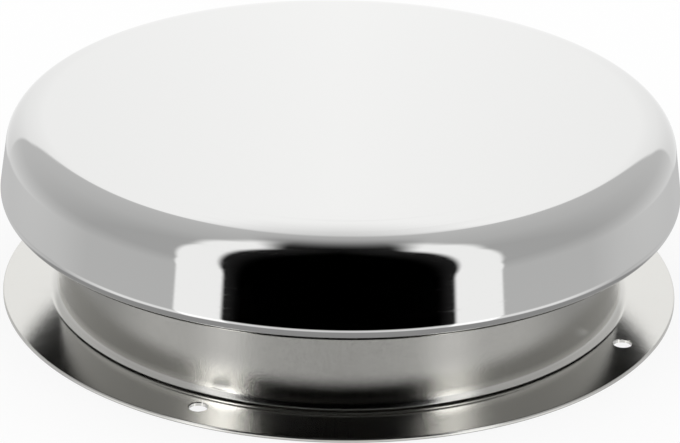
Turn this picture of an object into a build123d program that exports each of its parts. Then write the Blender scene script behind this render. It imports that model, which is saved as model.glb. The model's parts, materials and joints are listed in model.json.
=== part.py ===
"""Mushroom deck ventilator: a low stainless cap that screws up and down over a drawn deck collar.

Millimetres. Z points up from the deck and the origin is the centre of the flange's underside.
The cap stands open. A captive hand knob under the bridge is a nut on the cap's spindle: it
draws the cap down until the seal closes on the collar's rim.
"""

import math
import os

from build123d import *

os.makedirs("parts", exist_ok=True)

# Deck collar, drawn from one sheet
collar_diameter = 183.0  # outside of the wall
collar_height = 38.0  # rim above the deck
collar_sheet = 1.2
flange_width = 18.5  # from the wall's outside to the flange's edge
rim_width = 8.5  # from the wall's outside in to the throat
foot_bend = 3.0  # outside of the bend between flange and wall
rim_bend = 3.0  # outside of the bend at the rim
flange_edge_round = 0.4

# Deck screws
screw_count = 4
screw_hole_diameter = 5.8
screw_from_wall = 8.5  # hole centre from the wall's outside
first_screw_angle = 45.0

# Cap, spun from one sheet, at its open height
cap_overhang = 18.5  # cap's widest radius beyond the wall's outside
cap_depth = 31.4  # lower edge to crown
cap_sheet = 1.2
skirt_overlap = 4.4  # the open cap's lower edge hangs this far below the rim
skirt_draft = 8.0  # degrees
shoulder_bend = 10.0
dome_bend = 1350.0
edge_curl = 2.5
edge_curl_angle = 105.0  # degrees

# Travel and seal
cap_travel = 13.0
seal_width = 8.0
seal_clearance = 0.2  # left between seal and rim when the cap is down
bond_line = 0.1  # between the dome and what is bonded or welded under it

# Bridge across the throat
bridge_drop = 11.0  # underside below the rim
bridge_sheet = 2.0
arm_count = 3
arm_width = 18.0
first_arm_angle = 90.0
tab_height = 7.5
tab_bend = 1.5
weld_gap = 0.2
rib_width = 9.0
rib_height = 1.5
rib_end_margin = 5.0
rib_taper = 30.0  # degrees

# Hand knob and its brass sleeve nut
knob_diameter = 46.0
knob_lobes = 6
scallop_radius = 8.0
scallop_depth = 3.2
lobe_round = 2.5
grip_round = 2.0
nut_across_flats = 24.0
nut_flange = 4.0
nut_proud = 0.5  # brass standing above the knob's top
neck_diameter = 16.0
neck_end = 1.3  # neck left above its retaining ring
cover_diameter = 30.0
cover_thickness = 2.0
cover_spigot = 2.0
cover_spigot_wall = 1.5
cavity_diameter = 19.0

# Bearing of the knob in the bridge
bush_diameter = 20.0
bush_flange_diameter = 28.0
bush_flange = 2.0
thrust_washer_diameter = 27.0
thrust_washer = 1.0
slip_washer_diameter = 24.0
slip_washer = 0.8
ring_thickness = 1.2
ring_width = 2.8
ring_groove_depth = 0.5
ring_gap = 6.0
ring_ear_radius = 1.9
ring_ear_hole = 0.8

# Spindle, guide rods and their stop
spindle_diameter = 10.0
spindle_head_diameter = 24.0
spindle_head = 4.0
rod_count = 2
rod_diameter = 6.0
rod_head_diameter = 11.0
rod_head = 2.0
rod_from_knob = 3.0  # gap between a rod and the knob's lobes
rod_below_bridge = 5.0
hub_margin = 13.0  # bridge hub and stiffener beyond the rods' centres
stiffener_sheet = 1.5
grommet_wall = 2.0
grommet_lip = 2.0
grommet_lip_height = 1.2
stop_washer_diameter = 16.0
stop_washer = 1.5
stop_screw_diameter = 5.0
stop_screw_grip = 8.0
stop_screw_head_diameter = 9.0
stop_screw_head = 2.5
stop_cover_gap = 0.5

# Insect screen, framed by two moulded rings under the bridge
frame_width = 9.0
frame_height = 3.0
hub_frame_width = 6.0
frame_groove = 2.0
screen_thickness = 0.8
screen_pitch = 13.5
screen_bar = 1.4
screen_wall_gap = 0.4
screen_screw_diameter = 4.0
screen_screw_margin = 0.5  # between the frame's groove and its screw holes
screen_screw_head_diameter = 7.0
screen_screw_head = 2.0
screen_screw_end = 1.0

# Clearances, on the radius
running_clearance = 0.08
seat_clearance = 0.05
hole_clearance = 0.2
end_play = 0.2
edge_break = 0.4

# Radii and heights that follow
wall_radius = collar_diameter / 2
bore_radius = wall_radius - collar_sheet
flange_radius = wall_radius + flange_width
throat_radius = wall_radius - rim_width
screw_radius = wall_radius + screw_from_wall
cap_radius = wall_radius + cap_overhang
cap_edge = collar_height - skirt_overlap
crown = cap_edge + cap_depth
dome_centre = crown - dome_bend
dome_inside = dome_bend - cap_sheet - bond_line
knob_radius = knob_diameter / 2
rod_radius = knob_radius + rod_from_knob + rod_diameter / 2
hub_radius = rod_radius + hub_margin
spindle_radius = spindle_diameter / 2
neck_radius = neck_diameter / 2
bridge_height = collar_height - bridge_drop
bridge_top = bridge_height + bridge_sheet
arm_reach = bore_radius - weld_gap
nut_top = bridge_height - thrust_washer - end_play
nut_bottom = nut_top - nut_flange
spindle_end = nut_bottom - end_play
stop_bottom = spindle_end - stop_washer - stop_screw_head
cover_top = stop_bottom - cap_travel - stop_cover_gap
knob_bottom = cover_top - cover_thickness
knob_top = nut_top - nut_proud
slip_bottom = bridge_top + bush_flange
ring_bottom = slip_bottom + slip_washer + end_play
neck_top = ring_bottom + ring_thickness + neck_end
frame_bottom = bridge_height - frame_height
frame_outside = bore_radius - screen_wall_gap
frame_inside = frame_outside - frame_width
hub_frame_inside = rod_radius + rod_diameter / 2 + grommet_wall + grommet_lip
hub_frame_outside = hub_frame_inside + hub_frame_width
screen_bottom = frame_bottom + (frame_height - screen_thickness) / 2
screen_outer = frame_inside + frame_groove
screen_inner = hub_frame_outside - frame_groove
screen_screw_hole = screen_screw_diameter / 2 + hole_clearance
screen_screw_radius = screen_outer + seat_clearance + screen_screw_margin + screen_screw_hole
seal_radius = (throat_radius + wall_radius - rim_bend) / 2
seal_bottom = collar_height + cap_travel + seal_clearance


def under_dome(radius, depth=0.0):
    """Height of the bonding face under the dome, or of a face that lies deeper, at a radius."""
    return dome_centre + math.sqrt((dome_inside - depth) ** 2 - radius**2)


# Deck collar: flange, wall and in-turned rim in one drawn sheet
with BuildPart() as deck_collar:
    with BuildSketch(Plane.XZ):
        with BuildLine():
            FilletPolyline(
                (flange_radius, collar_sheet),
                (wall_radius, collar_sheet),
                (wall_radius, collar_height),
                (throat_radius, collar_height),
                radius=[foot_bend, rim_bend],
            )
            offset(amount=collar_sheet, side=Side.LEFT)
        make_face()
    revolve(axis=Axis.Z)
    flange_rims = deck_collar.edges().filter_by(GeomType.CIRCLE).sort_by(SortBy.RADIUS)[-2:]
    fillet(flange_rims.sort_by(Axis.Z)[-1], flange_edge_round)
    with PolarLocations(screw_radius, screw_count, first_screw_angle):
        Hole(screw_hole_diameter / 2)
deck_collar.part.label = "deck_collar"
export_step(deck_collar.part, "parts/deck_collar.step")


# Cap: crowned dome, rounded shoulder, flared skirt and curled lower edge in one spun sheet
draft = math.radians(skirt_draft)
skirt_up = Vector(-math.sin(draft), math.cos(draft))
skirt_foot = Vector(
    cap_radius - edge_curl * (1 - math.cos(draft)),
    cap_edge + edge_curl * (1 + math.sin(draft)),
)
foot_from_centre = skirt_foot - Vector(0, dome_centre)
along = foot_from_centre.dot(skirt_up)
skirt_rise = math.sqrt(along**2 - foot_from_centre.length**2 + dome_bend**2) - along
shoulder_corner = skirt_foot + skirt_up * skirt_rise
dome_angle = math.degrees(math.asin(shoulder_corner.X / dome_bend))
with BuildPart() as cap_shell:
    with BuildSketch(Plane.XZ):
        with BuildLine() as cap_line:
            dome = CenterArc((0, dome_centre), dome_bend, 90, -dome_angle)
            skirt = Line(dome @ 1, skirt_foot)
            JernArc(skirt @ 1, skirt % 1, edge_curl, -edge_curl_angle)
            fillet(cap_line.vertices().sort_by_distance(shoulder_corner)[0], shoulder_bend)
            offset(amount=cap_sheet, side=Side.RIGHT)
        make_face()
    revolve(axis=Axis.Z)
cap_shell.part.label = "cap_shell"
export_step(cap_shell.part, "parts/cap_shell.step")


# Stiffener: a dished disc spot-welded under the dome
with BuildPart() as cap_stiffener:
    with BuildSketch(Plane.XZ):
        with BuildLine():
            stiffener_top = ThreePointArc(
                (0, under_dome(0)),
                (hub_radius / 2, under_dome(hub_radius / 2)),
                (hub_radius, under_dome(hub_radius)),
            )
            stiffener_base = ThreePointArc(
                (0, under_dome(0, stiffener_sheet)),
                (hub_radius / 2, under_dome(hub_radius / 2, stiffener_sheet)),
                (hub_radius, under_dome(hub_radius, stiffener_sheet)),
            )
            Line(stiffener_top @ 0, stiffener_base @ 0)
            Line(stiffener_top @ 1, stiffener_base @ 1)
        make_face()
    revolve(axis=Axis.Z)
cap_stiffener.part.label = "cap_stiffener"
export_step(cap_stiffener.part, "parts/cap_stiffener.step")


# Spindle: welded head, plain shank of the screw's outside diameter and a tapped lower end
spindle_top = under_dome(spindle_head_diameter / 2, stiffener_sheet)
with BuildPart() as spindle:
    with BuildSketch(Plane.XY.offset(spindle_end)):
        Circle(spindle_radius)
    extrude(amount=spindle_top - spindle_end)
    with BuildSketch(Plane.XY.offset(spindle_top - spindle_head)):
        Circle(spindle_head_diameter / 2)
    extrude(amount=spindle_head)
    chamfer(spindle.edges().group_by(Axis.Z)[0], edge_break)
    with BuildSketch(Plane.XY.offset(spindle_end)):
        Circle(stop_screw_diameter / 2 + seat_clearance)
    extrude(amount=stop_screw_grip + hole_clearance, mode=Mode.SUBTRACT)
spindle.part.label = "spindle"
export_step(spindle.part, "parts/spindle.step")


# Guide rods: hang from the stiffener and keep the cap from turning with the knob
rod_top = under_dome(rod_radius + rod_head_diameter / 2, stiffener_sheet)
rod_end = bridge_height - rod_below_bridge
with BuildPart() as guide_rods:
    with BuildSketch(Plane.XY.offset(rod_end)):
        with PolarLocations(rod_radius, rod_count):
            Circle(rod_diameter / 2)
    extrude(amount=rod_top - rod_end)
    with BuildSketch(Plane.XY.offset(rod_top - rod_head)):
        with PolarLocations(rod_radius, rod_count):
            Circle(rod_head_diameter / 2)
    extrude(amount=rod_head)
    chamfer(guide_rods.edges().group_by(Axis.Z)[0], edge_break)
guide_rods.part.label = "guide_rods"
export_step(guide_rods.part, "parts/guide_rods.step")


# Seal: a rubber ring bonded under the dome, flat where it meets the rim
seal_inside = seal_radius - seal_width / 2
seal_outside = seal_radius + seal_width / 2
with BuildPart() as cap_seal:
    with BuildSketch(Plane.XZ):
        with BuildLine():
            seal_back = ThreePointArc(
                (seal_inside, under_dome(seal_inside)),
                (seal_radius, under_dome(seal_radius)),
                (seal_outside, under_dome(seal_outside)),
            )
            Polyline(
                seal_back @ 0,
                (seal_inside, seal_bottom),
                (seal_outside, seal_bottom),
                seal_back @ 1,
            )
        make_face()
    revolve(axis=Axis.Z)
    chamfer(cap_seal.edges().group_by(Axis.Z)[0], edge_break)
cap_seal.part.label = "cap_seal"
export_step(cap_seal.part, "parts/cap_seal.step")


# Stop washer and its screw on the spindle's lower end
with BuildPart() as stop_washer_disc:
    with BuildSketch(Plane.XY.offset(spindle_end)):
        Circle(stop_washer_diameter / 2)
        Circle(stop_screw_diameter / 2 + hole_clearance, mode=Mode.SUBTRACT)
    extrude(amount=-stop_washer)
stop_washer_disc.part.label = "stop_washer"
export_step(stop_washer_disc.part, "parts/stop_washer.step")

with BuildPart() as stop_screw:
    with BuildSketch(Plane.XY.offset(stop_bottom)):
        Circle(stop_screw_head_diameter / 2)
    extrude(amount=stop_screw_head)
    chamfer(stop_screw.edges().group_by(Axis.Z)[0], edge_break)
    with BuildSketch(Plane.XY.offset(stop_bottom + stop_screw_head)):
        Circle(stop_screw_diameter / 2)
    extrude(amount=stop_washer + stop_screw_grip)
stop_screw.part.label = "stop_screw"
export_step(stop_screw.part, "parts/stop_screw.step")


# Bridge: pressed hub and ribbed arms, with upturned tabs welded to the collar's bore
rib_start = hub_radius + rib_end_margin
rib_end = screen_screw_radius - screen_screw_diameter / 2 - rib_end_margin
rib_radius = (rib_start + rib_end) / 2
rib_length = rib_end - rib_start
tab_inside = arm_reach - bridge_sheet
with BuildPart() as bridge:
    with BuildSketch(Plane.XY.offset(bridge_height)) as bridge_blank:
        with PolarLocations(0, arm_count, first_arm_angle):
            Rectangle(arm_reach, arm_width, align=(Align.MIN, Align.CENTER))
        Circle(hub_radius)
        Circle(arm_reach, mode=Mode.INTERSECT)
    extrude(amount=bridge_sheet)
    with BuildSketch(Plane.XY.offset(bridge_height)):
        add(bridge_blank.sketch_local)
        Circle(tab_inside, mode=Mode.SUBTRACT)
    extrude(amount=tab_height)
    bends = bridge.edges().filter_by(GeomType.CIRCLE)
    inner_bends = bends.filter_by(lambda e: abs(e.radius - tab_inside) < edge_break)
    fillet(inner_bends.group_by(Axis.Z)[0], tab_bend)
    outer_bends = bridge.edges().filter_by(GeomType.CIRCLE)
    outer_bends = outer_bends.filter_by(lambda e: abs(e.radius - arm_reach) < edge_break)
    fillet(outer_bends.group_by(Axis.Z)[0], tab_bend + bridge_sheet)
    with BuildSketch(Plane.XY.offset(bridge_top)):
        with PolarLocations(rib_radius, arm_count, first_arm_angle):
            SlotOverall(rib_length, rib_width)
    extrude(amount=rib_height, taper=rib_taper)
    with BuildSketch(Plane.XY.offset(bridge_height)):
        with PolarLocations(rib_radius, arm_count, first_arm_angle):
            SlotOverall(rib_length - bridge_sheet, rib_width - bridge_sheet)
    extrude(amount=rib_height, taper=rib_taper, mode=Mode.SUBTRACT)
    Hole(bush_diameter / 2)
    with PolarLocations(rod_radius, rod_count):
        Hole(rod_diameter / 2 + grommet_wall)
    with PolarLocations(screen_screw_radius, arm_count, first_arm_angle):
        Hole(screen_screw_diameter / 2 + seat_clearance)
bridge.part.label = "bridge"
export_step(bridge.part, "parts/bridge.step")


# Bush: flanged bearing pressed into the bridge's hub
with BuildPart() as bridge_bush:
    with BuildSketch(Plane.XY.offset(bridge_height)):
        Circle(bush_diameter / 2 - seat_clearance)
    extrude(amount=bridge_sheet)
    with BuildSketch(Plane.XY.offset(bridge_top)):
        Circle(bush_flange_diameter / 2)
    extrude(amount=bush_flange)
    chamfer(bridge_bush.edges().group_by(Axis.Z)[-1], edge_break)
    with Locations((0, 0, bridge_height)):
        Hole(neck_radius + running_clearance)
bridge_bush.part.label = "bridge_bush"
export_step(bridge_bush.part, "parts/bridge_bush.step")


# Grommets: snap into the bridge and guide the rods
grommet_radius = rod_diameter / 2 + grommet_wall
with BuildPart() as rod_grommets:
    with BuildSketch(Plane.XY.offset(bridge_height - grommet_lip_height)):
        with PolarLocations(rod_radius, rod_count):
            Circle(grommet_radius + grommet_lip / 2)
    extrude(amount=grommet_lip_height)
    with BuildSketch(Plane.XY.offset(bridge_height)):
        with PolarLocations(rod_radius, rod_count):
            Circle(grommet_radius - seat_clearance)
    extrude(amount=bridge_sheet)
    with BuildSketch(Plane.XY.offset(bridge_top)):
        with PolarLocations(rod_radius, rod_count):
            Circle(grommet_radius + grommet_lip)
    extrude(amount=grommet_lip_height)
    with PolarLocations(rod_radius, rod_count):
        Hole(rod_diameter / 2 + running_clearance)
rod_grommets.part.label = "rod_grommets"
export_step(rod_grommets.part, "parts/rod_grommets.step")


# Washers either side of the bush
with BuildPart() as thrust_washer_disc:
    with BuildSketch(Plane.XY.offset(bridge_height)):
        Circle(thrust_washer_diameter / 2)
        Circle(neck_radius + hole_clearance, mode=Mode.SUBTRACT)
    extrude(amount=-thrust_washer)
thrust_washer_disc.part.label = "thrust_washer"
export_step(thrust_washer_disc.part, "parts/thrust_washer.step")

with BuildPart() as slip_washer_disc:
    with BuildSketch(Plane.XY.offset(slip_bottom)):
        Circle(slip_washer_diameter / 2)
        Circle(neck_radius + hole_clearance, mode=Mode.SUBTRACT)
    extrude(amount=slip_washer)
slip_washer_disc.part.label = "slip_washer"
export_step(slip_washer_disc.part, "parts/slip_washer.step")


# Sleeve nut: hexagon moulded into the knob, neck through the bush, bore for the spindle's thread
groove_radius = neck_radius - ring_groove_depth
with BuildPart() as sleeve_nut:
    with BuildSketch(Plane.XY.offset(nut_bottom)):
        RegularPolygon(nut_across_flats / 2, 6, major_radius=False)
    extrude(amount=nut_flange)
    with BuildSketch(Plane.XY.offset(nut_top)):
        Circle(neck_radius)
    extrude(amount=neck_top - nut_top)
    chamfer(sleeve_nut.edges().group_by(Axis.Z)[-1], edge_break)
    with BuildSketch(Plane.XY.offset(ring_bottom)):
        Circle(neck_radius)
        Circle(groove_radius, mode=Mode.SUBTRACT)
    extrude(amount=ring_thickness, mode=Mode.SUBTRACT)
    with Locations((0, 0, nut_bottom)):
        Hole(spindle_radius + running_clearance)
sleeve_nut.part.label = "sleeve_nut"
export_step(sleeve_nut.part, "parts/sleeve_nut.step")


# Retaining ring: a sprung C with two pierced ears, in the neck's groove
ring_inside = groove_radius + seat_clearance
ring_outside = ring_inside + ring_width
ear_height = ring_outside + ring_ear_radius / 2
ear_side = (ring_gap + ring_ear_radius) / 2
with BuildPart() as retaining_ring:
    with BuildSketch(Plane.XY.offset(ring_bottom + seat_clearance)):
        Circle(ring_outside)
        with Locations((-ear_side, ear_height), (ear_side, ear_height)):
            Circle(ring_ear_radius)
        Circle(ring_inside, mode=Mode.SUBTRACT)
        Rectangle(ring_gap, 2 * ear_height, align=(Align.CENTER, Align.MIN), mode=Mode.SUBTRACT)
        with Locations((-ear_side, ear_height), (ear_side, ear_height)):
            Circle(ring_ear_hole, mode=Mode.SUBTRACT)
    extrude(amount=ring_thickness - 2 * seat_clearance)
retaining_ring.part.label = "retaining_ring"
export_step(retaining_ring.part, "parts/retaining_ring.step")


# Hand knob: scalloped grip moulded round the nut, hollow for the spindle's end
scallop_centre = knob_radius - scallop_depth + scallop_radius
with BuildPart() as hand_knob:
    with BuildSketch(Plane.XY.offset(knob_bottom)) as grip:
        Circle(knob_radius)
        with PolarLocations(scallop_centre, knob_lobes):
            Circle(scallop_radius, mode=Mode.SUBTRACT)
        fillet(grip.vertices(), lobe_round)
    extrude(amount=knob_top - knob_bottom)
    grip_ends = hand_knob.faces().filter_by(Plane.XY)
    fillet(grip_ends.edges(), grip_round)
    with BuildSketch(Plane.XY.offset(nut_bottom - seat_clearance)):
        RegularPolygon(nut_across_flats / 2 + seat_clearance, 6, major_radius=False)
    extrude(amount=nut_flange, mode=Mode.SUBTRACT)
    with BuildSketch(Plane.XY.offset(knob_bottom)):
        Circle(cover_diameter / 2)
    extrude(amount=cover_thickness, mode=Mode.SUBTRACT)
    with Locations((0, 0, knob_bottom)):
        Hole(cavity_diameter / 2)
hand_knob.part.label = "hand_knob"
export_step(hand_knob.part, "parts/hand_knob.step")


# Knob cover: snaps into the knob's underside over the spindle's end
spigot_outside = cavity_diameter / 2 - seat_clearance
with BuildPart() as knob_cover:
    with BuildSketch(Plane.XY.offset(knob_bottom)):
        Circle(cover_diameter / 2 - seat_clearance)
    extrude(amount=cover_thickness)
    chamfer(knob_cover.edges().group_by(Axis.Z)[0], edge_break)
    with BuildSketch(Plane.XY.offset(cover_top)):
        Circle(spigot_outside)
        Circle(spigot_outside - cover_spigot_wall, mode=Mode.SUBTRACT)
    extrude(amount=cover_spigot)
knob_cover.part.label = "knob_cover"
export_step(knob_cover.part, "parts/knob_cover.step")


# Screen frame: moulded rings grooved for the screen, one screwed under the arms, one round the hub
groove_bottom = screen_bottom - seat_clearance
groove_height = screen_thickness + 2 * seat_clearance
with BuildPart() as screen_frame:
    with BuildSketch(Plane.XY.offset(frame_bottom)):
        Circle(frame_outside)
        Circle(frame_inside, mode=Mode.SUBTRACT)
    extrude(amount=frame_height)
    with BuildSketch(Plane.XY.offset(groove_bottom)):
        Circle(screen_outer + seat_clearance)
    extrude(amount=groove_height, mode=Mode.SUBTRACT)
    with PolarLocations(screen_screw_radius, arm_count, first_arm_angle):
        Hole(screen_screw_hole)
screen_frame.part.label = "screen_frame"
export_step(screen_frame.part, "parts/screen_frame.step")

with BuildPart() as screen_hub_ring:
    with BuildSketch(Plane.XY.offset(frame_bottom)):
        Circle(hub_frame_outside)
        Circle(hub_frame_inside, mode=Mode.SUBTRACT)
    extrude(amount=frame_height)
    with BuildSketch(Plane.XY.offset(groove_bottom)):
        Circle(hub_frame_outside)
        Circle(screen_inner - seat_clearance, mode=Mode.SUBTRACT)
    extrude(amount=groove_height, mode=Mode.SUBTRACT)
screen_hub_ring.part.label = "screen_hub_ring"
export_step(screen_hub_ring.part, "parts/screen_hub_ring.step")


# Insect screen: one disc with a square weave of openings between the two rings
rows = 2 * math.ceil(frame_inside / screen_pitch) + 1
with BuildSketch() as screen_openings:
    with GridLocations(screen_pitch, screen_pitch, rows, rows):
        Rectangle(screen_pitch - screen_bar, screen_pitch - screen_bar)
    Circle(frame_inside, mode=Mode.INTERSECT)
    Circle(hub_frame_outside, mode=Mode.SUBTRACT)
with BuildPart() as insect_screen:
    with BuildSketch(Plane.XY.offset(screen_bottom)):
        Circle(screen_outer)
        Circle(screen_inner, mode=Mode.SUBTRACT)
        add(screen_openings.sketch.faces().filter_by(lambda f: f.area > screen_bar**2), mode=Mode.SUBTRACT)
    extrude(amount=screen_thickness)
insect_screen.part.label = "insect_screen"
export_step(insect_screen.part, "parts/insect_screen.step")


# Screen screws: pan heads from below, through the frame into the arms
screw_length = frame_height + bridge_sheet + screen_screw_end
with BuildPart() as screen_screws:
    with BuildSketch(Plane.XY.offset(frame_bottom)):
        with PolarLocations(screen_screw_radius, arm_count, first_arm_angle):
            Circle(screen_screw_diameter / 2)
    extrude(amount=screw_length)
    with BuildSketch(Plane.XY.offset(frame_bottom)):
        with PolarLocations(screen_screw_radius, arm_count, first_arm_angle):
            Circle(screen_screw_head_diameter / 2)
    extrude(amount=-screen_screw_head)
    chamfer(screen_screws.edges().group_by(Axis.Z)[0], edge_break)
screen_screws.part.label = "screen_screws"
export_step(screen_screws.part, "parts/screen_screws.step")
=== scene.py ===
"""Looks of the mushroom deck ventilator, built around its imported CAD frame. Metres, Z up from the deck."""

import json
import math

import bmesh
import bpy
from mathutils import Matrix, Vector


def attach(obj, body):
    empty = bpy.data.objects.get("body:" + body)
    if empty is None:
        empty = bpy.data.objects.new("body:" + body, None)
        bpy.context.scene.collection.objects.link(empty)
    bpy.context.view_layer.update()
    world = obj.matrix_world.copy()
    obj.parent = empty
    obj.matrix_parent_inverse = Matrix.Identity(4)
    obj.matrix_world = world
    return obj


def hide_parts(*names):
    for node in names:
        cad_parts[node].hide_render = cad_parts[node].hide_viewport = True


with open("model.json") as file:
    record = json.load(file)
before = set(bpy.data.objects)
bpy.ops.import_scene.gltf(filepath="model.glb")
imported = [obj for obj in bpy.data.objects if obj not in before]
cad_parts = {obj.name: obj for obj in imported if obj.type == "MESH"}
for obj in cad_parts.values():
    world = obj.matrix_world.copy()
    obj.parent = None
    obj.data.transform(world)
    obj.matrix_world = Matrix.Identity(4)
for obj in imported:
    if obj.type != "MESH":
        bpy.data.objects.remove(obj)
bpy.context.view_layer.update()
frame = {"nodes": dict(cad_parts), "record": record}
scene = bpy.context.scene
scene.view_settings.view_transform = "Standard"
MM = 0.001
UP = Vector((0, 0, 1))

# Camera, fitted to the flange's and the cap's outlines in the photograph
IMAGE_WIDTH = 680
FOCAL_PIXELS = 3630.0
SENSOR_WIDTH = 36.0
CAMERA_AZIMUTH = math.radians(-109.9)
CAMERA_REACH = 1.0744
CAMERA_HEIGHT = 0.521
CAMERA_PITCH = math.radians(24.89)
CAMERA_ROLL = math.radians(0.99)

outward = Vector((math.cos(CAMERA_AZIMUTH), math.sin(CAMERA_AZIMUTH), 0.0))
forward = -math.cos(CAMERA_PITCH) * outward - math.sin(CAMERA_PITCH) * UP
level = forward.cross(UP).normalized()
upright = level.cross(forward)
right = math.cos(CAMERA_ROLL) * level + math.sin(CAMERA_ROLL) * upright
upward = right.cross(forward)
lens = bpy.data.cameras.new("photo_camera")
lens.sensor_width = SENSOR_WIDTH
lens.lens = FOCAL_PIXELS * SENSOR_WIDTH / IMAGE_WIDTH
camera = bpy.data.objects.new("photo_camera", lens)
turn = Matrix((right, upward, -forward)).transposed().to_4x4()
camera.matrix_world = Matrix.Translation(CAMERA_REACH * outward + CAMERA_HEIGHT * UP) @ turn
scene.collection.objects.link(camera)
scene.camera = camera


def linear(hex_colour):
    """An sRGB hex value as linear RGBA."""
    channels = [int(hex_colour[i : i + 2], 16) / 255 for i in (1, 3, 5)]
    return [c / 12.92 if c <= 0.04045 else ((c + 0.055) / 1.055) ** 2.4 for c in channels] + [1.0]


def add(tree, kind, inputs=None, **settings):
    """A node. An input is a value, a socket to link, or a node, linked by its first output."""
    node = tree.nodes.new("ShaderNode" + kind)
    for name, value in settings.items():
        setattr(node, name, value)
    for key, value in (inputs or {}).items():
        if isinstance(value, bpy.types.Node):
            value = value.outputs[0]
        if isinstance(value, bpy.types.NodeSocket):
            tree.links.new(value, node.inputs[key])
        else:
            node.inputs[key].default_value = value
    return node


# A Mix node's sockets: the share of B, then A and B as numbers or as colours, and the colour that comes out
SHARE, NUMBER_A, NUMBER_B, COLOUR_A, COLOUR_B, COLOUR_OUT = 0, 2, 3, 6, 7, 2

# Studio: a pale tent with a dark slit for the camera, a lit strip each side of the slit and a round softbox
# behind. A direction is laid out flat, as degrees from overhead, across the tent and towards its back.
# The slit and the strips widen to the front in straight runs: (change per degree back, half width overhead).
SLIT_ROOF, SLIT_FRONT, SLIT_FOOT = (-0.16, 11.0), (-0.557, 15.2), (-0.767, 0.0)
STRIP_ROOF, STRIP_SHOULDER, STRIP_FRONT = (-0.58, 26.0), (-0.85, 24.5), (-1.376, 0.0)
SLIT_EASE, EDGE_BLUR = 4.0, 2.0
SOFTBOX_BACK, SOFTBOX_WIDTH, SOFTBOX_DEPTH, SOFTBOX_BLUR = 84.0, 57.0, 27.0, 0.035
# Brightness, with white at 1, and its change per degree
STRIP_LIGHT, LAMP_LEFT, LAMP_RIGHT = 0.98, 4.2, 2.4
CLOTH_TO_BACK, GROUND_TO_SIDE = 0.0024, 0.0013
STRIP_ON_GROUND, NEAR_GROUND = 0.42, 0.28
SOFTBOX_LIGHT, SOFTBOX_TO_SIDE = 1.03, -0.0055
FIRST_BOUNCE = 1.5
world = bpy.data.worlds.new("studio_tent")
scene.world = world
world.use_nodes = True
# the tent differs by kind of ray, so it is found by the rays alone and not sampled as one light
world.cycles.sampling_method = "NONE"
sky = world.node_tree
sky.nodes.clear()
path = add(sky, "LightPath")
heading = add(sky, "TexCoord").outputs["Generated"]
heading = add(sky, "Mapping", {"Vector": heading, "Rotation": (0, 0, -math.pi / 2 - CAMERA_AZIMUTH)})
heading = add(sky, "SeparateXYZ", {0: heading})
tilt = add(sky, "Math", {0: heading.outputs["Z"]}, operation="ARCCOSINE")
fall = add(sky, "Math", {0: tilt}, operation="DEGREES")
spread = add(sky, "Math", {0: fall, 1: add(sky, "Math", {0: tilt}, operation="SINE")}, operation="DIVIDE")
across = add(sky, "Math", {0: heading.outputs["X"], 1: spread}, operation="MULTIPLY")
behind = add(sky, "Math", {0: heading.outputs["Y"], 1: spread}, operation="MULTIPLY")
side = add(sky, "Math", {0: across}, operation="ABSOLUTE")

# the slit narrows over the roof, and so do the strips beside it
runs = [SLIT_ROOF, SLIT_FRONT, SLIT_FOOT, STRIP_ROOF, STRIP_SHOULDER, STRIP_FRONT]
slit_roof, slit_front, slit_foot, strip_roof, strip_shoulder, strip_front = [
    add(sky, "Math", {0: behind, 1: change, 2: overhead}, operation="MULTIPLY_ADD")
    for change, overhead in runs
]
slit = add(sky, "Math", {0: slit_roof, 1: slit_front, 2: SLIT_EASE}, operation="SMOOTH_MAX")
slit = add(sky, "Math", {0: slit, 1: slit_foot}, operation="MAXIMUM")
strip = add(sky, "Math", {0: strip_roof, 1: strip_shoulder}, operation="MAXIMUM")
strip = add(sky, "Math", {0: strip, 1: strip_front}, operation="MAXIMUM")
from_slit = add(sky, "Math", {0: side, 1: slit}, operation="SUBTRACT")
from_strip = add(sky, "Math", {0: side, 1: strip}, operation="SUBTRACT")
past_slit, past_strip = [
    add(
        sky,
        "MapRange",
        {"Value": distance, "From Min": -EDGE_BLUR, "From Max": EDGE_BLUR},
        interpolation_type="SMOOTHSTEP",
    )
    for distance in (from_slit, from_strip)
]

# the cloth is brighter towards the back and the floor
cloth = add(sky, "MapRange", {"Value": fall, "From Min": 75, "From Max": 110, "To Min": 0.40, "To Max": 0.52})
to_back = add(sky, "Math", {0: behind, 1: 0.0}, operation="MAXIMUM")
cloth = add(sky, "Math", {0: to_back, 1: CLOTH_TO_BACK, 2: cloth}, operation="MULTIPLY_ADD")

# a first bounce sees an even strip. Beside the slit the strip is far brighter than white, which counts only
# from the second bounce on, as between the cap, the collar and the flange.
lamp = add(
    sky,
    "MapRange",
    {"Value": across, "From Min": -30, "From Max": 30, "To Min": LAMP_LEFT, "To Max": LAMP_RIGHT},
)
lamp = add(
    sky,
    "MapRange",
    {"Value": from_slit, "From Min": 3, "From Max": 20, "To Min": lamp, "To Max": STRIP_LIGHT},
)
twice = add(sky, "Math", {0: path.outputs["Glossy Depth"], 1: FIRST_BOUNCE}, operation="GREATER_THAN")
lamp = add(sky, "Mix", {SHARE: twice, NUMBER_A: STRIP_LIGHT, NUMBER_B: lamp})

# the dark in the slit lifts at its edges and its top end
slit_top = add(
    sky,
    "MapRange",
    {"Value": behind, "From Min": 24, "From Max": 54, "To Max": 0.44},
    interpolation_type="SMOOTHSTEP",
)
slit_edge = add(
    sky,
    "MapRange",
    {"Value": from_slit, "From Min": -14, "From Max": 0, "To Max": 0.014},
    interpolation_type="SMOOTHSTEP",
)
slit_light = add(sky, "Math", {0: slit_top, 1: slit_edge}, operation="ADD")
tent = add(sky, "Mix", {SHARE: past_strip, NUMBER_A: lamp, NUMBER_B: cloth})
tent = add(sky, "Mix", {SHARE: past_slit, NUMBER_A: slit_light, NUMBER_B: tent})

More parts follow.
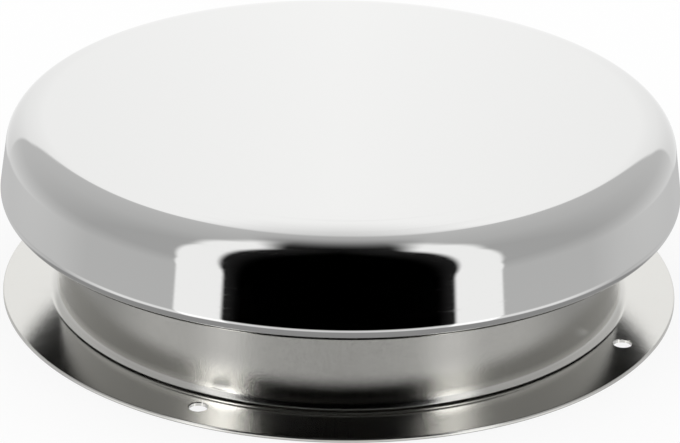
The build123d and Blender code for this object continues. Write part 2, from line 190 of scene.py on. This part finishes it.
# the ground is lit by the strips, and darker towards the middle and right under the part
ground = add(
    sky, "MapRange", {"Value": behind, "From Min": -20, "From Max": 35, "To Min": 0.70, "To Max": 0.36}
)
ground = add(sky, "Math", {0: side, 1: GROUND_TO_SIDE, 2: ground}, operation="MULTIPLY_ADD")
ground_back = add(sky, "MapRange", {"Value": behind, "From Min": 40, "From Max": 100, "To Max": 0.15})
ground = add(sky, "Math", {0: ground, 1: ground_back}, operation="ADD")
lit = add(sky, "Math", {0: past_slit, 1: past_strip}, operation="SUBTRACT")
ground = add(sky, "Math", {0: lit, 1: STRIP_ON_GROUND, 2: ground}, operation="MULTIPLY_ADD")
near = add(
    sky, "MapRange", {"Value": fall, "From Min": 119, "From Max": 127}, interpolation_type="SMOOTHSTEP"
)
ground = add(sky, "Mix", {SHARE: near, NUMBER_A: ground, NUMBER_B: NEAR_GROUND})
below = add(
    sky, "MapRange", {"Value": fall, "From Min": 105, "From Max": 111}, interpolation_type="SMOOTHSTEP"
)
tent = add(sky, "Mix", {SHARE: below, NUMBER_A: tent, NUMBER_B: ground})

# the softbox behind
softbox = add(
    sky,
    "Mapping",
    {
        "Vector": add(sky, "CombineXYZ", {0: across, 1: behind}),
        "Location": (0, SOFTBOX_BACK, 0),
        "Scale": (SOFTBOX_WIDTH, SOFTBOX_DEPTH, 1),
    },
    vector_type="TEXTURE",
)
softbox = add(sky, "VectorMath", {0: softbox}, operation="LENGTH").outputs["Value"]
softbox = add(
    sky,
    "MapRange",
    {"Value": softbox, "From Min": 1 + SOFTBOX_BLUR, "From Max": 1 - SOFTBOX_BLUR},
    interpolation_type="SMOOTHSTEP",
)
softbox_light = add(sky, "Math", {0: side, 1: SOFTBOX_TO_SIDE, 2: SOFTBOX_LIGHT}, operation="MULTIPLY_ADD")
tent = add(sky, "Mix", {SHARE: softbox, NUMBER_A: tent, NUMBER_B: softbox_light})

# the camera sees plain white, metal sees the tent, and what is dull is lit evenly
mirrored = add(
    sky,
    "Math",
    {0: path.outputs["Is Glossy Ray"], 1: path.outputs["Is Transmission Ray"]},
    operation="MAXIMUM",
)
seen = add(sky, "Mix", {SHARE: mirrored, NUMBER_A: 1.0, NUMBER_B: tent})
light = add(sky, "Background", {"Color": seen})
add(sky, "OutputWorld", {"Surface": light})

# Floor: a round white table with the part's soft shadow. Metal sees through it to the tent, except under the
# part. There it is open to soft light, and from underneath it is clear, so that the knob and the screen show.
TABLE_RADIUS = 0.30
TABLE_SIDES = 128
TABLE_DROP = 0.0002
COVERED_RADIUS = 0.0915
WASHED_OUT = 0.85
BOTH_OR_NEITHER = 0.5
table_shape = bmesh.new()
bmesh.ops.create_circle(table_shape, cap_ends=True, segments=TABLE_SIDES, radius=TABLE_RADIUS)
bmesh.ops.translate(table_shape, verts=table_shape.verts, vec=(0, 0, -TABLE_DROP))
table_mesh = bpy.data.meshes.new("floor")
table_shape.to_mesh(table_mesh)
table_shape.free()
floor = bpy.data.objects.new("floor", table_mesh)
scene.collection.objects.link(floor)
table_white = bpy.data.materials.new("white_table")
table_white.use_nodes = True
table = table_white.node_tree
table.nodes.clear()
path = add(table, "LightPath")
mirrored = add(
    table,
    "Math",
    {0: path.outputs["Is Glossy Ray"], 1: path.outputs["Is Transmission Ray"]},
    operation="MAXIMUM",
)
washed = add(table, "Math", {0: path.outputs["Is Camera Ray"], 1: WASHED_OUT}, operation="MULTIPLY")
surface = add(
    table,
    "MixShader",
    {0: washed, 1: add(table, "BsdfDiffuse", {"Color": linear("#FCFCFC")}), 2: add(table, "Emission")},
)
place = add(table, "TexCoord").outputs["Object"]
reach = add(table, "VectorMath", {0: place}, operation="LENGTH").outputs["Value"]
around = add(table, "Math", {0: reach, 1: COVERED_RADIUS}, operation="GREATER_THAN")
see_through = add(table, "Math", {0: mirrored, 1: around, 2: BOTH_OR_NEITHER}, operation="COMPARE")
from_under = add(table, "NewGeometry").outputs["Backfacing"]
see_through = add(table, "Math", {0: see_through, 1: from_under}, operation="MAXIMUM")
surface = add(table, "MixShader", {0: see_through, 1: surface, 2: add(table, "BsdfTransparent")})
add(table, "OutputMaterial", {"Surface": surface})
table_mesh.materials.append(table_white)


# Sheet pieces, each drawn as one profile and spun. Points a little inside the ends of each straight run hold
# the shading of the bends beside it.
SPIN_STEPS = 256
HOLD = 0.15 * MM
MERGE = 0.001 * MM


def spun(name, start, moves):
    """A sheet piece spun about Z. Its profile in the XZ plane, in mm, is drawn by moves: (x, z) is a straight
    run to there, and (x, z, degrees, steps) a bend about that centre, clockwise where degrees is positive."""
    shape = bmesh.new()
    end = shape.verts.new((start[0] * MM, 0, start[1] * MM))
    for move in moves:
        point = Vector((move[0] * MM, 0, move[1] * MM))
        if len(move) == 2:
            run = point - end.co
            ease = run.normalized() * HOLD
            for place in (end.co + ease, point - ease, point):
                end = bmesh.ops.extrude_vert_indiv(shape, verts=[end])["verts"][0]
                end.co = place
        else:
            swept = bmesh.ops.spin(
                shape, geom=[end], cent=point, axis=(0, 1, 0), angle=math.radians(move[2]), steps=move[3]
            )
            end = next(v for v in swept["geom_last"] if isinstance(v, bmesh.types.BMVert))
    bmesh.ops.remove_doubles(shape, verts=shape.verts, dist=MERGE)
    bmesh.ops.spin(
        shape,
        geom=shape.verts[:] + shape.edges[:],
        cent=(0, 0, 0),
        axis=(0, 0, 1),
        angle=math.tau,
        steps=SPIN_STEPS,
        use_merge=True,
    )
    bmesh.ops.remove_doubles(shape, verts=shape.verts, dist=MERGE)
    bmesh.ops.recalc_face_normals(shape, faces=shape.faces)
    for face in shape.faces:
        face.smooth = True
    mesh = bpy.data.meshes.new(name)
    shape.to_mesh(mesh)
    shape.free()
    piece = bpy.data.objects.new(name, mesh)
    scene.collection.objects.link(piece)
    return piece


# Cap: crowned dome, soft knuckle, rounded shoulder, flared skirt and curled lower edge, in mm. A narrow ring
# at the dome's end, a share of its angle, holds the dome's shading.
CAP_RADIUS, CAP_EDGE, CROWN, CAP_SHEET = 110.0, 32.9, 65.0, 1.2
DOME_BEND, KNUCKLE_BEND, SHOULDER_BEND, EDGE_CURL = 1350.0, 22.0, 10.0, 4.5
SKIRT_DRAFT, KNUCKLE_ANGLE, EDGE_CURL_ANGLE = math.radians(8.0), math.radians(16.0), 105.0
DOME_HOLD = 0.01
square = Vector((math.cos(SKIRT_DRAFT), math.sin(SKIRT_DRAFT)))
dome_centre = Vector((0, CROWN - DOME_BEND))
curl_centre = Vector((CAP_RADIUS - EDGE_CURL, CAP_EDGE + EDGE_CURL))
skirt_foot = curl_centre + EDGE_CURL * square
# the dome ends where its knuckle and shoulder bends run out into the skirt
to_skirt = (skirt_foot - dome_centre).dot(square) - SHOULDER_BEND
dome_arm, knuckle_arm = DOME_BEND - KNUCKLE_BEND, KNUCKLE_BEND - SHOULDER_BEND
arms = Vector((dome_arm + knuckle_arm * math.cos(KNUCKLE_ANGLE), knuckle_arm * math.sin(KNUCKLE_ANGLE)))
dome_end = math.asin(to_skirt / arms.length) - math.atan2(arms.y, arms.x) - SKIRT_DRAFT
knuckle_end = dome_end + KNUCKLE_ANGLE
knuckle_centre = dome_centre + dome_arm * Vector((math.sin(dome_end), math.cos(dome_end)))
shoulder_centre = knuckle_centre + knuckle_arm * Vector((math.sin(knuckle_end), math.cos(knuckle_end)))
skirt_head = shoulder_centre + SHOULDER_BEND * square
dome_angle = math.degrees(dome_end)
knuckle_angle = math.degrees(KNUCKLE_ANGLE)
shoulder_angle = 90 - math.degrees(SKIRT_DRAFT + knuckle_end)
lip_angle = SKIRT_DRAFT - math.radians(EDGE_CURL_ANGLE)
lip = Vector((math.cos(lip_angle), math.sin(lip_angle)))
lip_centre = curl_centre + (EDGE_CURL - CAP_SHEET / 2) * lip
ring_angle = DOME_HOLD * dome_angle
cap = spun(
    "polished_cap",
    (0, CROWN),
    [
        (*dome_centre, dome_angle - ring_angle, 48),
        (*dome_centre, ring_angle, 1),
        (*knuckle_centre, knuckle_angle, 16),
        (*shoulder_centre, shoulder_angle, 32),
        tuple(skirt_foot),
        (*curl_centre, EDGE_CURL_ANGLE, 20),
        (*lip_centre, 180, 8),
        (*curl_centre, -EDGE_CURL_ANGLE, 12),
        tuple(skirt_head - CAP_SHEET * square),
        (*shoulder_centre, -shoulder_angle, 20),
        (*knuckle_centre, -knuckle_angle, 8),
        (*dome_centre, -ring_angle, 1),
        (*dome_centre, ring_angle - dome_angle, 24),
    ],
)
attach(cap, "cap")
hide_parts("cap_shell")

# Collar: in-turned rim, wall, foot bend and flange, in mm
RIM_BORE, COLLAR_WALL, FLANGE_RADIUS, COLLAR_TOP = 83.0, 91.5, 110.0, 38.0
COLLAR_SHEET, COLLAR_BEND, EDGE_ROUND, UNDER_ROUND = 1.2, 3.0, 0.4, 0.15
rim_end, rim_under = RIM_BORE + EDGE_ROUND, COLLAR_TOP - COLLAR_SHEET
rim_turn = (COLLAR_WALL - COLLAR_BEND, COLLAR_TOP - COLLAR_BEND)
foot_turn = (COLLAR_WALL + COLLAR_BEND, COLLAR_SHEET + COLLAR_BEND)
collar = spun(
    "satin_collar",
    (rim_end, COLLAR_TOP),
    [
        (rim_turn[0], COLLAR_TOP),
        (*rim_turn, 90, 12),
        (COLLAR_WALL, foot_turn[1]),
        (*foot_turn, -90, 14),
        (FLANGE_RADIUS - EDGE_ROUND, COLLAR_SHEET),
        (FLANGE_RADIUS - EDGE_ROUND, COLLAR_SHEET - EDGE_ROUND, 90, 5),
        (FLANGE_RADIUS, UNDER_ROUND),
        (FLANGE_RADIUS - UNDER_ROUND, UNDER_ROUND, 90, 3),
        (foot_turn[0], 0.0),
        (*foot_turn, 90, 14),
        (COLLAR_WALL - COLLAR_SHEET, rim_turn[1]),
        (*rim_turn, -90, 8),
        (rim_end, rim_under),
        (rim_end, rim_under + EDGE_ROUND, 90, 4),
        (RIM_BORE, COLLAR_TOP - EDGE_ROUND),
        (rim_end, COLLAR_TOP - EDGE_ROUND, 90, 4),
    ],
)
# deck screw holes, drilled and deburred, in mm
HOLE_COUNT, HOLE_CIRCLE, HOLE_RADIUS = 4, 100.0, 2.9
DEBURR, DEBURR_FOOT = 0.45, 0.95
DRILL_FOOT, DRILL_HEAD = -2.0, 3.0
CREASE = math.radians(30)
drills = spun(
    "drills",
    (0, DRILL_FOOT),
    [
        (HOLE_RADIUS, DRILL_FOOT),
        (HOLE_RADIUS, DEBURR_FOOT),
        (HOLE_RADIUS + DEBURR, DEBURR_FOOT + DEBURR),
        (HOLE_RADIUS + DEBURR, DRILL_HEAD),
        (0, DRILL_HEAD),
    ],
)
drill_shape = bmesh.new()
drill_shape.from_mesh(drills.data)
bmesh.ops.translate(drill_shape, verts=drill_shape.verts, vec=(HOLE_CIRCLE * MM, 0, 0))
bmesh.ops.rotate(
    drill_shape, verts=drill_shape.verts, matrix=Matrix.Rotation(math.tau / HOLE_COUNT / 2, 3, "Z")
)
first_drill = drill_shape.verts[:] + drill_shape.edges[:] + drill_shape.faces[:]
for hole in range(1, HOLE_COUNT):
    copied = bmesh.ops.duplicate(drill_shape, geom=first_drill)["geom"]
    bmesh.ops.rotate(
        drill_shape,
        verts=[v for v in copied if isinstance(v, bmesh.types.BMVert)],
        matrix=Matrix.Rotation(math.tau / HOLE_COUNT * hole, 3, "Z"),
    )
drill_shape.to_mesh(drills.data)
drill_shape.free()
drilling = collar.modifiers.new("drilling", "BOOLEAN")
drilling.operation = "DIFFERENCE"
drilling.solver = "EXACT"
drilling.object = drills
drilled = bpy.data.meshes.new_from_object(collar.evaluated_get(bpy.context.evaluated_depsgraph_get()))
collar.modifiers.clear()
collar.data = drilled
bpy.data.objects.remove(drills)
collar_shape = bmesh.new()
collar_shape.from_mesh(drilled)
for corner in collar_shape.edges:
    corner.smooth = corner.calc_face_angle(0) < CREASE
collar_shape.to_mesh(drilled)
collar_shape.free()
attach(collar, "deck_base")
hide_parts("deck_collar")

# Insect screen: woven wire, its cut ends held in the grooves of its two rings. Each wire waves by just over
# half its thickness, so crossing wires pass without touching.
WIRE, MESH_PITCH, WIRE_SIDES = 0.35 * MM, 3.0 * MM, 5
MESH_INSIDE, MESH_OUTSIDE, MESH_HEIGHT = 40.3 * MM, 82.6 * MM, 25.5 * MM
CROSSINGS = 56
WAVE = 0.52 * WIRE
weave = bmesh.new()
start = Matrix.Translation((-CROSSINGS / 2 * MESH_PITCH, 0, WAVE)) @ Matrix.Rotation(math.pi / 2, 4, "Y")
bmesh.ops.create_circle(weave, segments=WIRE_SIDES, radius=WIRE / 2, matrix=start)
rim = weave.edges[:]
for half_pitch in range(2 * CROSSINGS):
    drawn_out = bmesh.ops.extrude_edge_only(weave, edges=rim)["geom"]
    ends = [v for v in drawn_out if isinstance(v, bmesh.types.BMVert)]
    rim = [e for e in drawn_out if isinstance(e, bmesh.types.BMEdge) and all(v in ends for v in e.verts)]
    rise = WAVE if half_pitch % 4 in (2, 3) else -WAVE
    bmesh.ops.translate(weave, verts=ends, vec=(MESH_PITCH / 2, 0, rise))
first_wire = weave.verts[:] + weave.edges[:] + weave.faces[:]
for row in range(1, CROSSINGS + 1):
    wire = bmesh.ops.duplicate(weave, geom=first_wire)["geom"]
    wire = [v for v in wire if isinstance(v, bmesh.types.BMVert)]
    if row % 2:
        bmesh.ops.scale(weave, verts=wire, vec=(1, 1, -1))
    bmesh.ops.translate(weave, verts=wire, vec=(0, row * MESH_PITCH, 0))
bmesh.ops.translate(weave, verts=weave.verts, vec=(0, -CROSSINGS / 2 * MESH_PITCH, 0))
one_way = weave.verts[:] + weave.edges[:] + weave.faces[:]
other_way = bmesh.ops.duplicate(weave, geom=one_way)["geom"]
other_way = [v for v in other_way if isinstance(v, bmesh.types.BMVert)]
bmesh.ops.rotate(weave, verts=other_way, matrix=Matrix.Rotation(math.pi / 2, 3, "Z"))
bmesh.ops.scale(weave, verts=other_way, vec=(1, 1, -1))
waste = [v for v in weave.verts if not MESH_INSIDE < v.co.xy.length < MESH_OUTSIDE]
bmesh.ops.delete(weave, geom=waste, context="VERTS")
bmesh.ops.holes_fill(weave, edges=[e for e in weave.edges if e.is_boundary], sides=WIRE_SIDES)
bmesh.ops.translate(weave, verts=weave.verts, vec=(0, 0, MESH_HEIGHT))
bmesh.ops.recalc_face_normals(weave, faces=weave.faces)
for face in weave.faces:
    face.smooth = True
weave_mesh = bpy.data.meshes.new("woven_screen")
weave.to_mesh(weave_mesh)
weave.free()
woven_screen = bpy.data.objects.new("woven_screen", weave_mesh)
scene.collection.objects.link(woven_screen)
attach(woven_screen, "deck_base")
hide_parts("insect_screen")

# Finishes, by the record's slots
NYLON_IOR = 1.53


def finish(name, colour, metallic, roughness):
    """A new material, its node tree, its Principled shader and the place on the piece, in metres."""
    material = bpy.data.materials.new(name)
    material.use_nodes = True
    tree = material.node_tree
    shader = tree.nodes["Principled BSDF"]
    shader.inputs["Base Color"].default_value = linear(colour)
    shader.inputs["Metallic"].default_value = metallic
    shader.inputs["Roughness"].default_value = roughness
    return material, tree, shader, add(tree, "TexCoord").outputs["Object"]


def turned(tree, place):
    """The place on a turned piece, laid out by its radius from Z and its height."""
    flat = add(tree, "VectorMath", {0: place, 1: (1, 1, 0)}, operation="MULTIPLY")
    radius = add(tree, "VectorMath", {0: flat}, operation="LENGTH").outputs["Value"]
    return add(tree, "CombineXYZ", {0: radius, 1: add(tree, "SeparateXYZ", {0: place}).outputs["Z"]})


# Mirror-polished stainless steel, spun: a clear mirror, very slightly wavy, with fine rings of haze left
# where the polishing mop ran round. The rings are drawn 0.9 mm wide, far coarser than the real ones, to show.
polished, tree, shader, place = finish("mirror_polished_stainless", "#EDEDEC", 1.0, 0.04)
rings = turned(tree, place)
rings = add(tree, "VectorMath", {0: place, 1: (0.02, 0.02, 0), 2: rings}, operation="MULTIPLY_ADD")
rings = add(tree, "TexNoise", {"Vector": rings, "Scale": 1 / (0.9 * MM), "Detail": 4, "Roughness": 0.7})
haze = add(
    tree, "MapRange", {"Value": rings, "From Min": 0.5, "From Max": 0.85, "To Min": 0.03, "To Max": 0.13}
)
tree.links.new(haze.outputs[0], shader.inputs["Roughness"])
waves = add(tree, "TexNoise", {"Vector": place, "Scale": 1 / (35 * MM), "Detail": 1})
dents = add(tree, "Bump", {"Height": waves, "Distance": 0.02 * MM, "Strength": 1.0})
tree.links.new(dents.outputs[0], shader.inputs["Normal"])

# Bright-rolled stainless steel, drawn: a soft mirror, streaked up the wall by the die and speckled by the
# roll. From 3 to 6 mm up, the flange goes over into the wall, which is more speckled and painted a darker
# grey: a painted shade for the dimmer reflections in the wall.
# The speckle is drawn 0.3 mm across, far coarser than the real one.
satin, tree, shader, place = finish("bright_rolled_stainless", "#E4E3DF", 1.0, 0.14)
flat = add(tree, "VectorMath", {0: place, 1: (1, 1, 0)}, operation="MULTIPLY")
bearing = add(tree, "VectorMath", {0: flat}, operation="NORMALIZE")
streaks = add(tree, "VectorMath", {0: place, 1: (0.05, 0.05, 0.05)}, operation="MULTIPLY")
around_wall = (COLLAR_WALL * MM, COLLAR_WALL * MM, 0)
streaks = add(tree, "VectorMath", {0: bearing, 1: around_wall, 2: streaks}, operation="MULTIPLY_ADD")
streaks = add(tree, "TexNoise", {"Vector": streaks, "Scale": 1 / (0.8 * MM), "Detail": 3, "Roughness": 0.6})
haze = add(
    tree, "MapRange", {"Value": streaks, "From Min": 0.3, "From Max": 0.75, "To Min": 0.12, "To Max": 0.17}
)
tree.links.new(haze.outputs[0], shader.inputs["Roughness"])
height = add(tree, "SeparateXYZ", {0: place}).outputs["Z"]
drawn = add(tree, "MapRange", {"Value": height, "From Min": 3 * MM, "From Max": 6 * MM})
# painted shade: the wall is painted a darker grey than the flange
tint = add(
    tree,
    "Mix",
    {SHARE: drawn, COLOUR_A: linear("#E4E3DF"), COLOUR_B: linear("#B2B1AD")},
    data_type="RGBA",
)
tree.links.new(tint.outputs[COLOUR_OUT], shader.inputs["Base Color"])
speckle = add(tree, "TexNoise", {"Vector": place, "Scale": 1 / (0.3 * MM), "Detail": 1})
depth = add(tree, "MapRange", {"Value": drawn, "To Min": 0.25, "To Max": 1.0})
speckle = add(tree, "Math", {0: speckle, 1: depth}, operation="MULTIPLY")
grain = add(tree, "Bump", {"Height": speckle, "Distance": 0.04 * MM, "Strength": 1.0})
tree.links.new(grain.outputs[0], shader.inputs["Normal"])

# Mill-finish stainless steel: a dull grey sheen, clouded over a few millimetres and finely pitted
mill, tree, shader, place = finish("mill_finish_stainless", "#C6C5C2", 1.0, 0.38)
clouds = add(tree, "TexNoise", {"Vector": place, "Scale": 1 / (6 * MM), "Detail": 6, "Roughness": 0.65})
haze = add(
    tree, "MapRange", {"Value": clouds, "From Min": 0.3, "From Max": 0.7, "To Min": 0.28, "To Max": 0.48}
)
tree.links.new(haze.outputs[0], shader.inputs["Roughness"])
pits = add(tree, "TexNoise", {"Vector": place, "Scale": 1 / (0.4 * MM), "Detail": 3})
grain = add(tree, "Bump", {"Height": pits, "Distance": 0.01 * MM, "Strength": 1.0})
tree.links.new(grain.outputs[0], shader.inputs["Normal"])

# The cap's inside: stainless steel painted a matt dark grey, a painted shade for the dark under the cap,
# mottled over a few millimetres
annealed, tree, shader, place = finish("painted_dark_cap_inside", "#4E4D4B", 1.0, 0.55)
mottle = add(tree, "TexNoise", {"Vector": place, "Scale": 1 / (7 * MM), "Detail": 6, "Roughness": 0.7})
tint = add(
    tree,
    "Mix",
    {SHARE: mottle, COLOUR_A: linear("#42413F"), COLOUR_B: linear("#5C5A57")},
    data_type="RGBA",
)
tree.links.new(tint.outputs[COLOUR_OUT], shader.inputs["Base Color"])
scale = add(tree, "TexNoise", {"Vector": place, "Scale": 1 / (0.5 * MM), "Detail": 3})
haze = add(
    tree, "MapRange", {"Value": scale, "From Min": 0.3, "From Max": 0.7, "To Min": 0.48, "To Max": 0.64}
)
tree.links.new(haze.outputs[0], shader.inputs["Roughness"])
grain = add(tree, "Bump", {"Height": scale, "Distance": 0.01 * MM, "Strength": 1.0})
tree.links.new(grain.outputs[0], shader.inputs["Normal"])

# Phosphated spring steel: charcoal, matt, with a crystalline fleck
spring, tree, shader, place = finish("phosphated_spring_steel", "#3B3B3D", 1.0, 0.5)
flecks = add(tree, "TexVoronoi", {"Vector": place, "Scale": 1 / (0.25 * MM)}).outputs["Distance"]
tint = add(
    tree,
    "Mix",
    {SHARE: flecks, COLOUR_A: linear("#2C2C2E"), COLOUR_B: linear("#505053")},
    data_type="RGBA",
)
tree.links.new(tint.outputs[COLOUR_OUT], shader.inputs["Base Color"])

# Turned brass: warm yellow, with the fine rings of the lathe tool, 0.3 mm apart
brass, tree, shader, place = finish("turned_brass", "#D9B668", 1.0, 0.24)
feed = turned(tree, place)
feed = add(tree, "TexNoise", {"Vector": feed, "Scale": 1 / (0.3 * MM), "Detail": 2})
haze = add(
    tree, "MapRange", {"Value": feed, "From Min": 0.3, "From Max": 0.7, "To Min": 0.16, "To Max": 0.34}
)
tree.links.new(haze.outputs[0], shader.inputs["Roughness"])
tooling = add(tree, "Bump", {"Height": feed, "Distance": 0.01 * MM, "Strength": 1.0})
tree.links.new(tooling.outputs[0], shader.inputs["Normal"])

# Glass-filled nylon, moulded: soft black with a fine eroded texture and faint paler flow marks
black_nylon, tree, shader, place = finish("glass_filled_nylon", "#222324", 0.0, 0.46)
shader.inputs["IOR"].default_value = NYLON_IOR
flow = add(tree, "TexNoise", {"Vector": place, "Scale": 1 / (9 * MM), "Detail": 4, "Distortion": 1.2})
tint = add(
    tree,
    "Mix",
    {SHARE: flow, COLOUR_A: linear("#1B1C1D"), COLOUR_B: linear("#2B2C2D")},
    data_type="RGBA",
)
tree.links.new(tint.outputs[COLOUR_OUT], shader.inputs["Base Color"])
texture = add(tree, "TexNoise", {"Vector": place, "Scale": 1 / (0.45 * MM), "Detail": 2})
haze = add(
    tree, "MapRange", {"Value": texture, "From Min": 0.3, "From Max": 0.7, "To Min": 0.4, "To Max": 0.56}
)
tree.links.new(haze.outputs[0], shader.inputs["Roughness"])
grain = add(tree, "Bump", {"Height": texture, "Distance": 0.03 * MM, "Strength": 1.0})
tree.links.new(grain.outputs[0], shader.inputs["Normal"])

# Natural nylon, turned: milky cream with tool rings, 0.3 mm apart
natural_nylon, tree, shader, place = finish("natural_nylon", "#E4DDC8", 0.0, 0.42)
shader.inputs["IOR"].default_value = NYLON_IOR
milk = add(tree, "TexNoise", {"Vector": place, "Scale": 1 / (4 * MM), "Detail": 3})
tint = add(
    tree,
    "Mix",
    {SHARE: milk, COLOUR_A: linear("#DDD5BD"), COLOUR_B: linear("#EAE4D3")},
    data_type="RGBA",
)
tree.links.new(tint.outputs[COLOUR_OUT], shader.inputs["Base Color"])
feed = turned(tree, place)
feed = add(tree, "TexNoise", {"Vector": feed, "Scale": 1 / (0.3 * MM), "Detail": 1})
tooling = add(tree, "Bump", {"Height": feed, "Distance": 0.01 * MM, "Strength": 1.0})
tree.links.new(tooling.outputs[0], shader.inputs["Normal"])

# EPDM rubber, moulded: dull charcoal with a dusty bloom in patches
rubber, tree, shader, place = finish("epdm_rubber", "#232324", 0.0, 0.8)
bloom = add(tree, "TexNoise", {"Vector": place, "Scale": 1 / (12 * MM), "Detail": 5, "Roughness": 0.7})
tint = add(
    tree,
    "Mix",
    {SHARE: bloom, COLOUR_A: linear("#1C1C1D"), COLOUR_B: linear("#303031")},
    data_type="RGBA",
)
tree.links.new(tint.outputs[COLOUR_OUT], shader.inputs["Base Color"])
pores = add(tree, "TexNoise", {"Vector": place, "Scale": 1 / (0.5 * MM), "Detail": 2})
grain = add(tree, "Bump", {"Height": pores, "Distance": 0.03 * MM, "Strength": 1.0})
tree.links.new(grain.outputs[0], shader.inputs["Normal"])

# Drawn stainless wire: bright grey, duller in patches along its length
drawn_wire, tree, shader, place = finish("drawn_stainless_wire", "#C2C1BE", 1.0, 0.3)
patches = add(tree, "TexNoise", {"Vector": place, "Scale": 1 / (5 * MM), "Detail": 2})
haze = add(
    tree, "MapRange", {"Value": patches, "From Min": 0.3, "From Max": 0.7, "To Min": 0.22, "To Max": 0.42}
)
tree.links.new(haze.outputs[0], shader.inputs["Roughness"])

finish_of = {
    "polished_steel": polished,
    "satin_steel": satin,
    "mill_steel": mill,
    "spring_steel": spring,
    "brass": brass,
    "black_nylon": black_nylon,
    "natural_nylon": natural_nylon,
    "seal_rubber": rubber,
    "screen_wire": drawn_wire,
}
for subpart in frame["record"]["subparts"]:
    for slot in frame["nodes"][subpart["node"]].material_slots:
        slot.material = finish_of[subpart["material_slot"]]
collar.data.materials.append(satin)
woven_screen.data.materials.append(drawn_wire)
# only the cap's outside is polished; its inside gets the dark painted shade
cap.data.materials.append(polished)
cap.data.materials.append(annealed)
for face in cap.data.polygons:
    if face.normal.xy.dot(face.center.xy) < 0:
        face.material_index = 1
